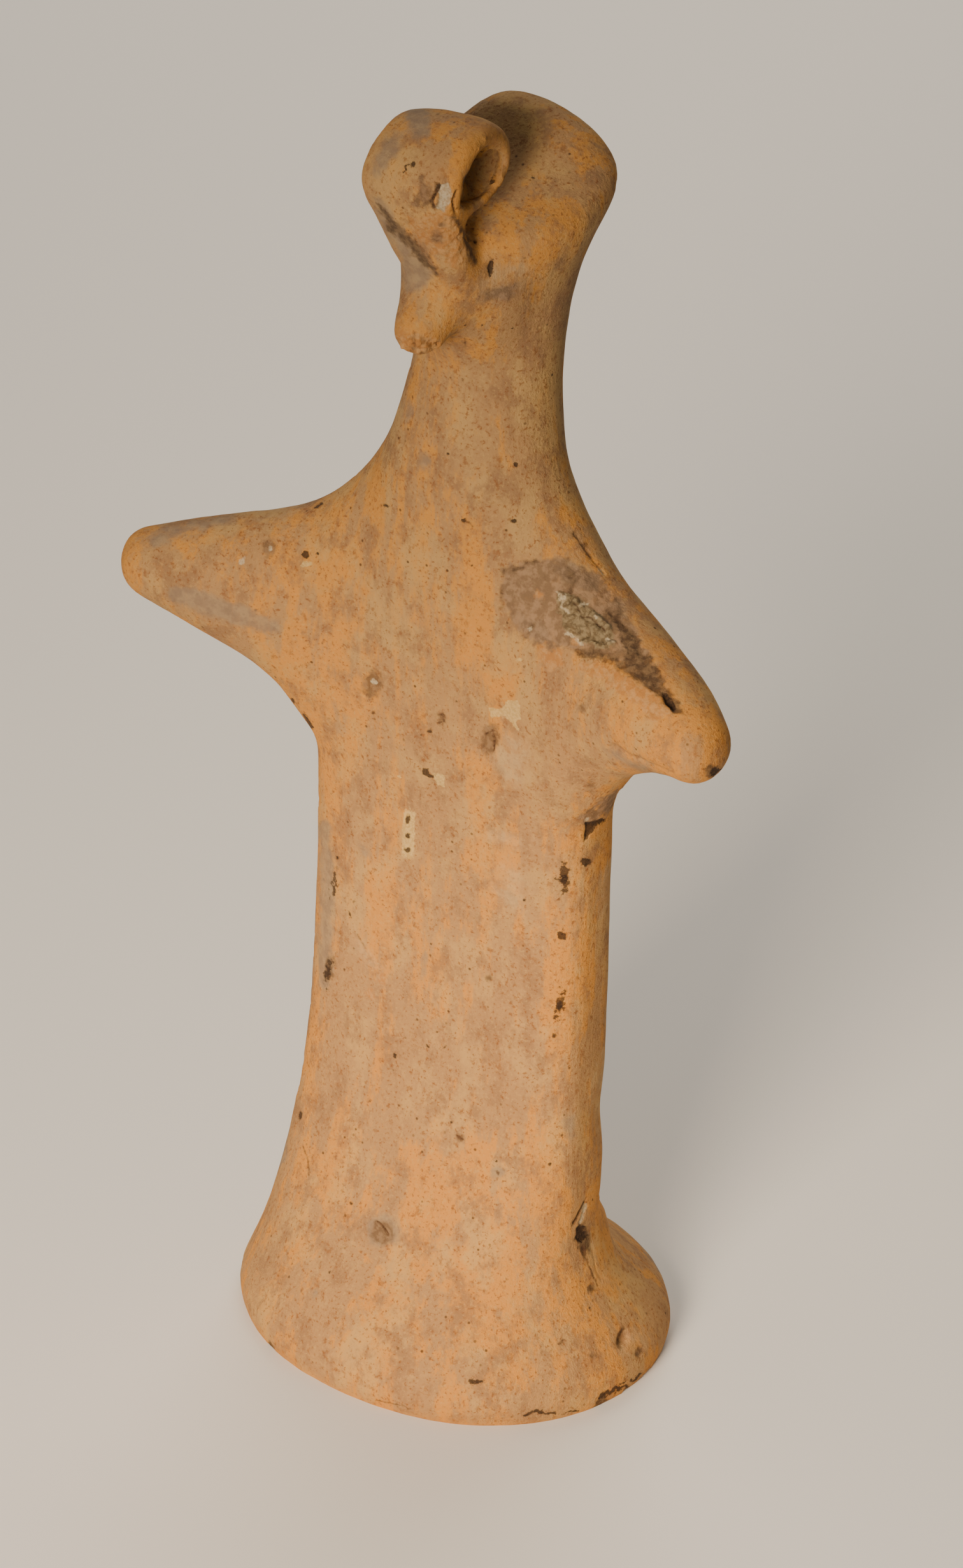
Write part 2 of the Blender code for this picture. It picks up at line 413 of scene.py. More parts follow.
@dataclass(frozen=True)
class Outline(SeenMark):
    """A mark through points of the picture: a line of a half width, or a closed patch."""

    points: tuple[tuple[float, float], ...] = ()
    half_width: float = 0.15
    closed: bool = False

    def middle(self) -> tuple[float, float]:
        """The middle of the points' box."""
        columns, rows = zip(*self.points)
        return ((min(columns) + max(columns)) / 2, (min(rows) + max(rows)) / 2)

    def reach(self) -> float:
        """From the middle to the farthest point."""
        column, row = self.middle()
        return max(math.hypot(c - column, r - row) for c, r in self.points)

    def outline(self, columns: np.ndarray, rows: np.ndarray) -> np.ndarray:
        """Measures how far places lie from the line's or patch's edge.

        Args:
            columns: How far right each place is in the picture, in the figurine's millimetres.
            rows: How far down.

        Returns:
            The distances, below 0 inside.
        """
        points = np.array(self.points) / PIXELS_PER_MM
        ends = list(zip(points, points[1:]))
        if self.closed:
            ends.append((points[-1], points[0]))
        nearest = np.full(columns.shape, 1e9)
        inside = np.zeros(columns.shape, bool)
        for start, end in ends:
            way = end - start
            t = ((columns - start[0]) * way[0] + (rows - start[1]) * way[1]) / (way @ way)
            t = np.clip(t, 0, 1)
            away = np.hypot(columns - start[0] - t * way[0], rows - start[1] - t * way[1])
            nearest = np.minimum(nearest, away)
            crosses = (start[1] > rows) != (end[1] > rows)
            rise = np.where(end[1] == start[1], 1e-9, end[1] - start[1])
            meets = start[0] + (rows - start[1]) / rise * way[0]
            inside ^= crosses & (columns < meets)
        if not self.closed:
            return nearest - self.half_width
        return np.where(inside, -nearest, nearest)


@dataclass(frozen=True)
class Brush:
    """Lays marks of one trace, by the photograph's columns and rows."""

    trace: Trace

    def dab(self, column: float, row: float, half_width: float, half_length: float,
            lean: float = 0.0, **more: float) -> Dab:
        """A spot, with its place and size first."""
        return Dab(self.trace, column=column, row=row, half_width=half_width,
                   half_length=half_length, lean=lean, **more)

    def dabs(self, *spots: tuple[float, ...]) -> list[Dab]:
        """Plain spots: each one's column, row, half width, half length and, if any, lean."""
        return [self.dab(*spot) for spot in spots]

    def line(self, half_width: float, *points: tuple[float, float], **more: float) -> Outline:
        """A line of a half width through points of the picture."""
        return Outline(self.trace, points=points, half_width=half_width, **more)

    def patch(self, *points: tuple[float, float], **more: float) -> Outline:
        """A closed patch through points of the picture."""
        return Outline(self.trace, points=points, closed=True, **more)


PAINT, SLIP, CRACK_AND_SHADE, GRAIN, WORN, SPALL, STAIN_AND_SHADE, BLOOM, EROSION, CRUST, RAW, DIRT_AND_SHADE, DENT = (
    Brush(trace) for trace in Trace
)


def skirt_shape() -> list[Mark]:
    """The soft bend where the body's left side meets the skirt, and the slight waist above it."""
    return [
        Fleck(Trace.DENT, -1.4, 9.0, 0.0, place=(17.5, 7.5, 18.5), radius=3.5),
        Fleck(Trace.DENT, 0.6, 9.0, 0.0, place=(19.0, 4.5, 38.0), radius=5.0),
    ]


def head_marks() -> list[Mark]:
    """The marks on the roll, the face and the crest."""
    return [
        PAINT.dab(647, 258, 0.28, 0.5, 25, ragged=0.2),
        PAINT.line(0.13, (632, 271), (638, 268), (636, 262), (641, 258), ragged=0.2),
        *PAINT.dabs(
            (779, 285, 0.25, 0.33), (756, 510, 0.15, 0.15), (837, 280, 0.2, 0.22),
            (866, 214, 0.14, 0.14), (805, 516, 0.12, 0.12), (865, 588, 0.15, 0.15),
            (727, 596, 0.14, 0.2),
        ),
        PAINT.dab(771, 420, 0.36, 1.15, 5, sink=0.3),
        BLOOM.dab(769, 428, 1.2, 2.2, 5),
        BLOOM.dab(816, 432, 1.2, 1.2),
        CRACK_AND_SHADE.dab(735, 373, 0.38, 0.5, sink=0.7, edge=0.4),
        CRACK_AND_SHADE.dab(746, 380, 0.18, 0.2, sink=0.3, edge=0.2),
        CRACK_AND_SHADE.line(0.09, (729, 531), (731, 545), sink=0.12, edge=0.12),
        GRAIN.patch((684, 292), (704, 287), (709, 302), (706, 322), (698, 332), (684, 326),
                    (688, 308), sink=0.45, edge=0.3, lumps=0.12),
        # painted shadow: the dark line along the chip's rim is its shade
        CRACK_AND_SHADE.line(0.22, (688, 290), (684, 303), (676, 316), (681, 326), sink=0.5, edge=0.25),
        SPALL.dab(667, 306, 0.9, 1.7, 5, sink=0.08),
        SPALL.dab(686, 373, 0.8, 0.85, sink=0.08),
        SPALL.dab(660, 279, 0.45, 0.45),
        SPALL.dab(655, 318, 0.6, 0.8, 20, ragged=0.4),
        SPALL.dab(694, 352, 0.5, 0.4, ragged=0.4),
        # painted shade between the roll's bulge and the beak: the grey band, with the dark patch
        # and line in it, stands for the shade below the bulge together with a grey stain
        STAIN_AND_SHADE.patch((582, 310), (600, 322), (622, 350), (646, 382), (664, 408), (684, 430),
                    (672, 436), (664, 452), (640, 458), (630, 440), (634, 410), (622, 388),
                    (598, 352)),
        STAIN_AND_SHADE.dab(655, 190, 2.6, 1.3, 80),
        STAIN_AND_SHADE.dab(608, 240, 1.1, 3.0, 25),
        DIRT_AND_SHADE.patch((590, 320), (612, 338), (640, 366), (668, 396), (686, 428), (664, 418),
                   (640, 392), (612, 364), ragged=0.5),
        BLOOM.line(0.35, (628, 378), (640, 392)),
        BLOOM.line(0.25, (648, 418), (662, 432)),
        DIRT_AND_SHADE.line(0.25, (650, 398), (668, 414), (684, 428), sink=0.12, edge=0.5),
        DIRT_AND_SHADE.line(0.3, (713, 340), (722, 356), (734, 384), (744, 410)),
        DENT.patch((728, 306), (724, 322), (743, 323), (765, 314), (779, 297), (787, 276),
                   (790, 254), (785, 241), (772, 237), (757, 244), (744, 262), (733, 284),
                   sink=1.7, edge=1.2),
        CRACK_AND_SHADE.line(0.14, (716, 300), (711, 318), (714, 334), sink=0.5, edge=0.5),
        RAW.patch((640, 342), (668, 338), (700, 332), (716, 345), (724, 372), (738, 402),
                  (712, 420), (690, 398), (664, 380), (646, 362), sink=0.02, lumps=0.24,
                  ragged=0.5),
        STAIN_AND_SHADE.patch((672, 366), (692, 358), (704, 366), (694, 384), (676, 382), ragged=0.4),
        RAW.patch((620, 528), (636, 520), (660, 524), (686, 529), (692, 543), (668, 556),
                  (640, 558), (620, 548), sink=0.15, lumps=0.5, ragged=0.35, edge=0.7),
        DIRT_AND_SHADE.dab(648, 541, 0.9, 0.3, 80, sink=0.3, edge=0.4, ragged=0.3),
        EROSION.dab(783, 460, 2.2, 1.0, -15, sink=0.1, edge=0.8),
        DENT.line(0.12, (676, 566), (681, 576), (690, 584), sink=0.2, edge=0.4),
    ]


def shoulder_marks() -> list[Mark]:
    """The marks on the neck's foot, the chest and the arms, with the eroded left shoulder."""
    return [
        STAIN_AND_SHADE.dab(641, 648, 0.6, 1.2),
        STAIN_AND_SHADE.dab(668, 726, 0.5, 0.9),
        *PAINT.dabs(
            (703, 713, 0.16, 0.16), (809, 729, 0.3, 0.3), (806, 818, 0.4, 0.3),
            (730, 817, 0.28, 0.25), (605, 794, 0.42, 0.24), (750, 879, 0.14, 0.14),
            (741, 887, 0.14, 0.14), (498, 869, 0.2, 0.2), (674, 1148, 0.3, 0.28),
            (662, 1154, 0.2, 0.18), (717, 1102, 0.24, 0.16), (461, 1099, 0.4, 0.24, 60),
        ),
        CRACK_AND_SHADE.line(0.07, (733, 818), (739, 821), (744, 826), sink=0.12, edge=0.1),
        PAINT.line(0.15, (493, 796), (505, 790)),
        SPALL.dab(423, 859, 0.9, 1.1, sink=0.12, edge=0.9),
        *GRAIN.dabs(
            (424, 861, 0.28, 0.32), (586, 1072, 0.42, 0.4), (944, 899, 0.16, 0.5, -35),
            (883, 941, 0.45, 0.36), (913, 1011, 0.4, 0.3), (895, 997, 0.8, 0.26, 20),
            (832, 988, 0.28, 0.26), (916, 949, 0.5, 0.2, -25),
        ),
        PAINT.dab(479, 871, 0.48, 0.52, sink=0.05),
        SLIP.dab(480, 885, 0.7, 0.35, -10),
        GRAIN.dab(380, 881, 0.35, 0.5, 25, ragged=0.4),
        STAIN_AND_SHADE.patch((264, 924), (289, 920), (326, 929), (367, 944), (407, 960), (437, 973),
                    (446, 984), (434, 992), (400, 988), (360, 980), (319, 966), (286, 951),
                    (266, 937)),
        DENT.dab(360, 880, 0.25, 1.6, 60, sink=0.1, edge=1.0),
        STAIN_AND_SHADE.patch((232, 842), (300, 820), (372, 812), (372, 822), (300, 834), (240, 860)),
        SPALL.dab(584, 1076, 1.2, 1.8, 15, sink=0.08, edge=0.8),
        CRACK_AND_SHADE.dab(586, 1119, 0.26, 0.24),
        SLIP.dab(816, 1035, 0.42, 0.2),
        SPALL.dab(691, 1128, 0.55, 0.7, 0, squareness=4.0, sink=0.1),
        CRACK_AND_SHADE.line(0.1, (687, 1121), (695, 1122), (696, 1134), (688, 1136), ragged=0.2),
        SPALL.dab(915, 1111, 0.5, 0.5),
        SLIP.patch((768, 1110), (788, 1114), (798, 1099), (815, 1099), (820, 1128), (804, 1135),
                   (792, 1124), (771, 1127), ragged=0.2),
        SLIP.line(0.2, (806, 1132), (813, 1144)),
        BLOOM.dab(806, 1190, 2.0, 3.4, -20),
        SPALL.dab(769, 1160, 1.15, 1.9, 10, sink=0.12, edge=0.7),
        CRACK_AND_SHADE.line(0.1, (772, 1146), (776, 1160), (775, 1179), sink=0.25, edge=0.15),
        CRACK_AND_SHADE.line(0.09, (762, 1152), (776, 1147), sink=0.2, edge=0.15),
        DIRT_AND_SHADE.dab(1118, 1212, 1.2, 0.8, 40, ragged=0.5),
        PAINT.dab(1124, 1214, 0.75, 0.6, 40, sink=0.1, ragged=0.35),
        SPALL.dab(926, 1234, 0.6, 0.4, 70),
        DENT.line(0.2, (902, 838), (916, 858), (932, 880), (948, 901), sink=0.25, edge=0.5),
        DIRT_AND_SHADE.line(0.15, (902, 838), (914, 854), (926, 872)),
        PAINT.dab(1050, 1101, 0.5, 1.35, -32, sink=0.55, edge=0.4),
        PAINT.line(0.2, (478, 1122), (490, 1142)),
        EROSION.patch((790, 895), (800, 884), (838, 877), (887, 880), (944, 907), (972, 945),
                      (1000, 993), (1030, 1060), (1042, 1092), (1020, 1074), (975, 1040),
                      (930, 1022), (880, 1020), (846, 1012), (812, 988), (792, 950), sink=0.2,
                      edge=0.9, ragged=0.6, lumps=0.12),
        CRUST.patch((876, 930), (898, 936), (926, 950), (948, 966), (962, 990), (966, 1016),
                    (944, 1022), (912, 1012), (890, 996), (878, 962), sink=-0.3, edge=0.7,
                    ragged=0.6, lumps=0.5),
        # painted shadow: the dark band along the eroded patch's upper right and lower edge is the
        # shade of its sunken step
        DIRT_AND_SHADE.patch((956, 958), (972, 966), (992, 988), (1016, 1026), (1046, 1072), (1064, 1100),
                   (1072, 1116), (1056, 1118), (1034, 1096), (1012, 1076), (984, 1058),
                   (948, 1036), (906, 1030), (902, 1020), (930, 1018), (958, 1028), (978, 1036),
                   (982, 1020), (972, 992), sink=0.22, edge=0.5, ragged=0.4, lumps=0.1),
        STAIN_AND_SHADE.patch((868, 884), (900, 884), (930, 902), (948, 926), (924, 926), (896, 920),
                    (872, 900), ragged=0.6),
        DIRT_AND_SHADE.dab(894, 894, 0.9, 0.35, 70, ragged=0.4),
        DIRT_AND_SHADE.dab(898, 921, 1.0, 0.2, -60, ragged=0.4),
        DIRT_AND_SHADE.line(0.16, (808, 896), (822, 886), (840, 880), sink=0.12, ragged=0.4),
        DIRT_AND_SHADE.patch((950, 958), (976, 958), (980, 972), (966, 976), (954, 972), ragged=0.5),
        STAIN_AND_SHADE.patch((818, 960), (848, 976), (862, 1004), (840, 1002), (820, 988), ragged=0.5),
        DIRT_AND_SHADE.dab(832, 990, 0.9, 0.25, -55, ragged=0.4),
        # painted shadow along the eroded patch's left edge
        DIRT_AND_SHADE.line(0.12, (792, 896), (789, 925), (790, 956), sink=0.15, edge=0.4, ragged=0.3),
        GRAIN.line(0.16, (874, 930), (886, 940), (884, 952), (893, 962), ragged=0.4),
        GRAIN.dab(905, 1008, 0.5, 0.22, 60, ragged=0.3),
        GRAIN.dab(938, 972, 0.3, 0.22, ragged=0.3),
        GRAIN.dab(958, 1006, 0.6, 0.3, 50, ragged=0.4),
        CRACK_AND_SHADE.line(0.1, (904, 948), (914, 966), (930, 974), (948, 990), sink=0.3, ragged=0.3),
        RAW.dab(846, 938, 0.5, 0.3, 60),
        RAW.dab(902, 1004, 0.9, 0.35, 70),
        RAW.patch((900, 1036), (950, 1044), (1000, 1068), (1030, 1095), (1060, 1130), (1020, 1130),
                  (970, 1085), (925, 1060), sink=-0.12, edge=0.7, ragged=0.9, lumps=0.14),
        DENT.line(0.3, (962, 1170), (990, 1186), (1022, 1202), (1056, 1214), sink=0.45, edge=0.9,
                  ragged=0.2),
        # painted shade: the dark line in the crease under the arm
        STAIN_AND_SHADE.line(0.3, (950, 1176), (980, 1196), (1010, 1208)),
        RAW.patch((852, 1012), (876, 1020), (886, 1040), (868, 1052), (850, 1036), ragged=0.5,
                  lumps=0.08),
    ]


def body_marks() -> list[Mark]:
    """The marks on the board-like body, with the slip strip that carries three dabs."""
    return [
        PAINT.patch((661, 1207), (672, 1206), (674, 1213), (682, 1216), (682, 1222), (671, 1220),
                    (663, 1216), ragged=0.15),
        SLIP.patch((678, 1213), (697, 1216), (701, 1235), (688, 1233), ragged=0.2),
        SLIP.dab(625, 1221, 0.26, 0.3, ragged=0.3),
        SLIP.dab(641, 1310, 0.8, 3.0, 2, squareness=7.0, ragged=0.12, sink=-0.05),
        *PAINT.dabs(
            (640, 1287, 0.3, 0.48, 10), (640, 1312, 0.42, 0.33, 20), (639, 1334, 0.4, 0.3, 10),
            (529, 1347, 0.16, 0.2), (548, 1438, 0.12, 0.32, -20), (824, 1411, 0.2, 0.2),
            (671, 1644, 0.3, 0.16, 40), (697, 1644, 0.3, 0.14, -40), (619, 1658, 0.2, 0.3, -15),
            (884, 1459, 0.12, 0.3, 10), (871, 1599, 0.14, 0.14), (870, 1626, 0.3, 0.28),
        ),
        BLOOM.dab(803, 1390, 2.2, 3.4),
        BLOOM.dab(796, 1315, 2.2, 0.6),
        STAIN_AND_SHADE.dab(570, 1335, 0.35, 0.75, -35),
        STAIN_AND_SHADE.dab(664, 1515, 0.22, 0.65),
        CRACK_AND_SHADE.dab(555, 1416, 0.2, 0.2),
        *WORN.dabs(
            (523, 1388, 0.25, 1.2, 5), (515, 1522, 0.3, 1.2, 8), (885, 1377, 0.6, 1.7, 3),
            (880, 1578, 0.5, 1.6, 4),
        ),
        DIRT_AND_SHADE.dab(515, 1525, 0.5, 1.5, 8),
        STAIN_AND_SHADE.line(0.9, (507, 1300), (513, 1400), (508, 1540)),
        BLOOM.line(0.25, (554, 1467), (570, 1492), (585, 1518), sink=0.14, edge=0.3),
        CRACK_AND_SHADE.line(0.06, (560, 1468), (574, 1490), sink=0.1, edge=0.12),
        RAW.dab(597, 1537, 0.8, 0.7),
        RAW.dab(580, 1560, 0.4, 0.7, -15),
        DIRT_AND_SHADE.dab(769, 1537, 0.35, 0.35, sink=0.12),
        PAINT.dab(886, 1379, 0.42, 0.7, 25, ragged=0.25),
        PAINT.dab(882, 1470, 0.65, 0.58, 45, squareness=1.3, ragged=0.2),
        PAINT.dab(879, 1578, 0.32, 0.7, 8, ragged=0.2),
        PAINT.dab(919, 1352, 0.7, 0.5, 20, ragged=0.3),
        PAINT.patch((920, 1291), (938, 1288), (954, 1283), (936, 1300), (916, 1320), sink=0.35,
                    edge=0.4, ragged=0.15),
        GRAIN.dab(921, 1287, 0.26, 0.3, 30),
        EROSION.line(0.9, (925, 1285), (950, 1265), (975, 1250), sink=0.12, edge=0.7, ragged=0.5),
    ]


def skirt_marks() -> list[Mark]:
    """The marks on the flared skirt and along its rim."""
    return [
        *PAINT.dabs(
            (471, 1752, 0.2, 0.55, 8), (709, 1762, 0.22, 0.2), (779, 1822, 0.15, 0.15),
            (863, 1827, 0.17, 0.17), (551, 1890, 0.22, 0.2), (518, 1997, 0.15, 0.15),
            (740, 2166, 0.3, 0.16, -40),
        ),
        SPALL.dab(722, 1786, 0.6, 0.5, 50),
        CRACK_AND_SHADE.dab(722, 1786, 0.4, 0.2, 50, ragged=0.3, sink=0.08),
        *STAIN_AND_SHADE.dabs(
            (783, 1841, 0.6, 0.5), (896, 1767, 0.6, 1.6, 10), (600, 1932, 2.0, 2.0),
        ),
        CRACK_AND_SHADE.dab(783, 1842, 0.35, 0.2, 60, ragged=0.3),
        SPALL.dab(600, 1934, 1.5, 1.5, sink=0.2, edge=0.8),
        CRACK_AND_SHADE.line(0.12, (590, 1918), (598, 1924), (604, 1932), (608, 1939), sink=0.3, edge=0.2),
        STAIN_AND_SHADE.dab(497, 2030, 0.35, 0.35, sink=0.1),
        CRACK_AND_SHADE.line(0.06, (476, 1800), (483, 1824), (484, 1846), sink=0.1, edge=0.12),
        GRAIN.line(0.24, (922, 1893), (918, 1905), (912, 1920), sink=0.25, edge=0.35),
        CRACK_AND_SHADE.line(0.17, (920, 1888), (911, 1904), (903, 1921), sink=0.4, edge=0.25),
        DIRT_AND_SHADE.dab(916, 1944, 0.95, 1.8, -8, ragged=0.3),
        PAINT.dab(914, 1938, 0.8, 1.2, -8, sink=0.3, edge=0.4, ragged=0.35),
        CRACK_AND_SHADE.dab(918, 1965, 0.35, 0.8, -12, sink=0.1),
        BLOOM.line(0.16, (931, 1955), (936, 1985), (946, 2012), sink=0.12, edge=0.3),
        CRACK_AND_SHADE.line(0.07, (921, 1972), (931, 2000), (940, 2018), sink=0.15, edge=0.25),
        DIRT_AND_SHADE.dab(930, 2023, 0.45, 0.45, sink=0.1, ragged=0.25),
        DENT.dab(979, 2102, 0.7, 1.1, 15, sink=0.9, edge=0.9),
        # painted shade: the dark dab in the dimple
        DIRT_AND_SHADE.dab(975, 2100, 0.3, 0.8, 15, ragged=0.3),
        BLOOM.dab(990, 2108, 0.9, 1.1, 15),
        SPALL.dab(1005, 2122, 0.6, 0.75, 20, sink=0.3, edge=0.6, ragged=0.3),
        SPALL.dab(884, 2107, 0.4, 0.3, sink=0.08),
        CRACK_AND_SHADE.line(0.08, (878, 2110), (883, 2107), (887, 2102), ragged=0.2),
        SPALL.dab(932, 2128, 0.4, 0.35, sink=0.08),
        PAINT.dab(750, 2169, 0.9, 0.24, 0, ragged=0.3),
        PAINT.line(0.28, (944, 2195), (953, 2184), (958, 2189), (968, 2179), (973, 2179),
                   ragged=0.4),
        PAINT.line(0.17, (973, 2185), (979, 2179), (988, 2177), ragged=0.4),
        PAINT.line(0.12, (974, 2173), (982, 2167), ragged=0.4),
        PAINT.line(0.16, (992, 2168), (1006, 2157), ragged=0.3),
        PAINT.line(0.18, (824, 2222), (836, 2219), (848, 2218), ragged=0.4),
        PAINT.line(0.15, (850, 2217), (860, 2218), (870, 2221), ragged=0.4),
        PAINT.line(0.08, (883, 2219), (896, 2218), (909, 2216), ragged=0.35),
        CRACK_AND_SHADE.line(0.06, (592, 2199), (622, 2204), (648, 2211), ragged=0.35),
    ]


@dataclass(frozen=True)
class Wear:
    """A scatter of like marks over the sides that the photograph does not show."""

    trace: Trace
    count: int
    smallest: float
    largest: float
    sink: float = 0.0
    edge: float = 0.35

    def scatter(self, surface: Surface, picker: np.random.Generator) -> list[Mark]:
        """Drops the marks on the hidden clay.

        Args:
            surface: The clay's vertices.
            picker: The seeded source of random values.

        Returns:
            The marks.
        """
        hidden = surface.points[surface.facing < HIDDEN_FACING]
        low, high = hidden.min(axis=0), hidden.max(axis=0)
        marks: list[Mark] = []
        for _ in range(self.count):
            aim = picker.uniform(low, high)
            radius = picker.uniform(self.smallest, self.largest)
            place = hidden[np.argmin(np.linalg.norm(hidden - aim, axis=1))]
            marks.append(Fleck(self.trace, self.sink, self.edge, place=tuple(place), radius=radius))
        return marks


@dataclass(frozen=True)
class Swell:
    """One layer of the hand's unevenness: lumps of a length, of a height, drawn out along Z."""

    length: float
    height: float
    drawn_out: float
    seed: float


@dataclass
class ClayBody:
    """The figurine's visible skin, one piece made from its solid.

    Attributes:
        node: The solid's name in the frame.
        name: The piece's name.
        view: The photograph's viewpoint.
        grain: The size of the mesh's cells before marks are refined.
        rounding: Smoothing passes that take the solid's facets out, each paired with a swell back.
        smoothing: How far a pass moves a vertex towards its neighbours' middle.
        foot: How far the skin is drawn below the floor before it is cut flat.
        weld: Vertices of the solid closer than this are one, in metres.
        sole_facing: A face of the solid that points down more than this can be its sole.
        sole_height: The sole's middle is lower than this, in metres.
        cut_width: What lies this close to the cut counts as on it, in metres.
        refine_rings: How many times the mesh is halved at the marks.
        refine_margin: How far round a mark the mesh is halved.
        sway: How far the board of the body leans to the figurine's left, or right if below 0.
        sway_rise: Between which heights the lean comes in.
        sway_end: Between which heights it fades again, below the arms.
        fullness: How much fuller the body and neck are at their sides than the solid.
        full_width: How far from the middle the fullness fades, where the arms begin.
        full_height: Between which heights it fades, below the head.
        sole_ease: Over which heights the relief's upward part comes in, so the sole stays flat.
        swells: The unevenness that fingers leave in clay.
        lump_length: The size of the lumps on broken floors and crusts.
        crumb_length: The size of the crumbs on them.
        crumb_share: How strong the crumbs are beside the lumps.
        hollow_passes: How many times the measure of hollows is spread to the next vertices.
        sharp_angle: An edge sharper than this many degrees stays sharp.
        wander_seed: The seed of the wandering edges, which would otherwise follow the clock.
        wear_seed: The seed of the hidden sides' wear.
        wear: The marks that are scattered over the hidden sides.
    """

    node: str = "figurine"
    name: str = "terracotta_figurine"
    view: PhotoView = field(default_factory=PhotoView)
    grain: float = 0.72
    rounding: int = 16
    smoothing: float = 0.6
    foot: float = 4.0
    weld: float = 1e-6
    sole_facing: float = 0.99
    sole_height: float = 1e-5
    cut_width: float = 1e-7
    refine_rings: int = 2
    refine_margin: float = 0.5
    sway: float = -0.55
    sway_rise: tuple[float, float] = (4.0, 22.0)
    sway_end: tuple[float, float] = (80.0, 100.0)
    fullness: float = 0.5
    full_width: tuple[float, float] = (29.0, 35.0)
    full_height: tuple[float, float] = (125.0, 145.0)
    sole_ease: tuple[float, float] = (0.3, 2.0)
    swells: tuple[Swell, ...] = (
        Swell(26.0, 0.30, 1.6, 3.0),
        Swell(9.0, 0.18, 2.4, 11.0),
        Swell(3.4, 0.07, 2.0, 23.0),
        Swell(1.6, 0.025, 1.5, 31.0),
    )
    lump_length: float = 1.1
    crumb_length: float = 0.45
    crumb_share: float = 0.6
    hollow_passes: int = 10
    sharp_angle: float = 60.0
    wander_seed: int = 5
    wear_seed: int = 12
    wear: tuple[Wear, ...] = (
        Wear(Trace.DENT, 16, 1.5, 3.0, 0.18, 1.6),
        Wear(Trace.BLOOM, 7, 3.0, 6.0),
        Wear(Trace.STAIN_AND_SHADE, 9, 1.5, 4.5),
        Wear(Trace.DIRT_AND_SHADE, 8, 0.6, 1.4, 0.08),
        Wear(Trace.SPALL, 16, 0.5, 1.2, 0.1),
        Wear(Trace.SLIP, 4, 0.4, 0.8),
        Wear(Trace.GRAIN, 8, 0.25, 0.4),
        Wear(Trace.CRACK_AND_SHADE, 14, 0.2, 0.4, 0.15),
        Wear(Trace.PAINT, 24, 0.2, 0.55),
    )

    def marks(self, surface: Surface) -> list[Mark]:
        """Gathers every mark: what the photograph shows, and the wear of the hidden sides.

        Args:
            surface: The clay's vertices.

        Returns:
            The marks.
        """
        picker = np.random.default_rng(self.wear_seed)
        shown = skirt_shape() + head_marks() + shoulder_marks() + body_marks() + skirt_marks()
        return shown + [mark for wear in self.wear for mark in wear.scatter(surface, picker)]

    def rounded_solid(self, source: bpy.types.Object) -> bpy.types.Object:
        """Copies the solid, draws its foot down and gives it an even, rounded skin.

        Args:
            source: The CAD node's object.

        Returns:
            A new object with the rounded mesh, not yet cut at the floor.
        """
        mesh = source.data.copy()
        bm = bmesh.new()
        bm.from_mesh(mesh)
        bmesh.ops.remove_doubles(bm, verts=bm.verts, dist=self.weld)
        down = [f for f in bm.faces if f.normal.z < -self.sole_facing]
        sole = [f for f in down if f.calc_center_median().z < self.sole_height]
        drawn = bmesh.ops.extrude_face_region(bm, geom=sole)
        low = [v for v in drawn["geom"] if isinstance(v, bmesh.types.BMVert)]
        bmesh.ops.translate(bm, verts=low, vec=(0, 0, -self.foot * MM))
        bmesh.ops.delete(bm, geom=sole, context="FACES")
        bmesh.ops.recalc_face_normals(bm, faces=bm.faces)
        bm.to_mesh(mesh)
        bm.free()
        skin = bpy.data.objects.new(self.name, mesh)
        bpy.context.scene.collection.objects.link(skin)
        remesh = skin.modifiers.new("grain", "REMESH")
        remesh.mode = "VOXEL"
        remesh.voxel_size = self.grain * MM
        graph = bpy.context.evaluated_depsgraph_get()
        skin_mesh = bpy.data.meshes.new_from_object(skin.evaluated_get(graph))
        skin.modifiers.clear()
        skin.data = skin_mesh
        skin.data.materials.clear()
        return skin

    def soften(self, bm: bmesh.types.BMesh) -> None:
        """Smooths the facets away, and swells back after each pass so that nothing shrinks.

        Args:
            bm: The skin's mesh.
        """
        axes = {"use_axis_x": True, "use_axis_y": True, "use_axis_z": True}
        for factor in (self.smoothing, -self.smoothing) * self.rounding:
            bmesh.ops.smooth_vert(bm, verts=bm.verts, factor=factor, **axes)

    def cut_sole(self, bm: bmesh.types.BMesh) -> None:
        """Cuts the foot off at the floor, which leaves the flat underside.

        Args:
            bm: The skin's mesh.
        """
        everything = bm.verts[:] + bm.edges[:] + bm.faces[:]
        cut = bmesh.ops.bisect_plane(
            bm, geom=everything, dist=self.cut_width, plane_co=(0, 0, 0), plane_no=(0, 0, -1),
            clear_outer=True,
        )
        rim = [part for part in cut["geom_cut"] if isinstance(part, bmesh.types.BMEdge)]
        bmesh.ops.edgeloop_fill(bm, edges=rim)

    def fill_out(self, bm: bmesh.types.BMesh) -> None:
        """Moves the body sideways to its place, and makes it and the neck fuller at the sides.

        Args:
            bm: The skin's mesh.
        """
        surface = Surface.of(bm, self.view)
        side, height = np.abs(surface.points[:, 0]), surface.points[:, 2]
        lean = smooth_step(height, *self.sway_rise) * (1 - smooth_step(height, *self.sway_end))
        body = 1 - smooth_step(side, *self.full_width)
        body *= 1 - smooth_step(height, *self.full_height)
        moved = self.sway * lean + self.fullness * body * surface.normals[:, 0]
        for vertex, shift in zip(bm.verts, moved):
            vertex.co.x += shift * MM

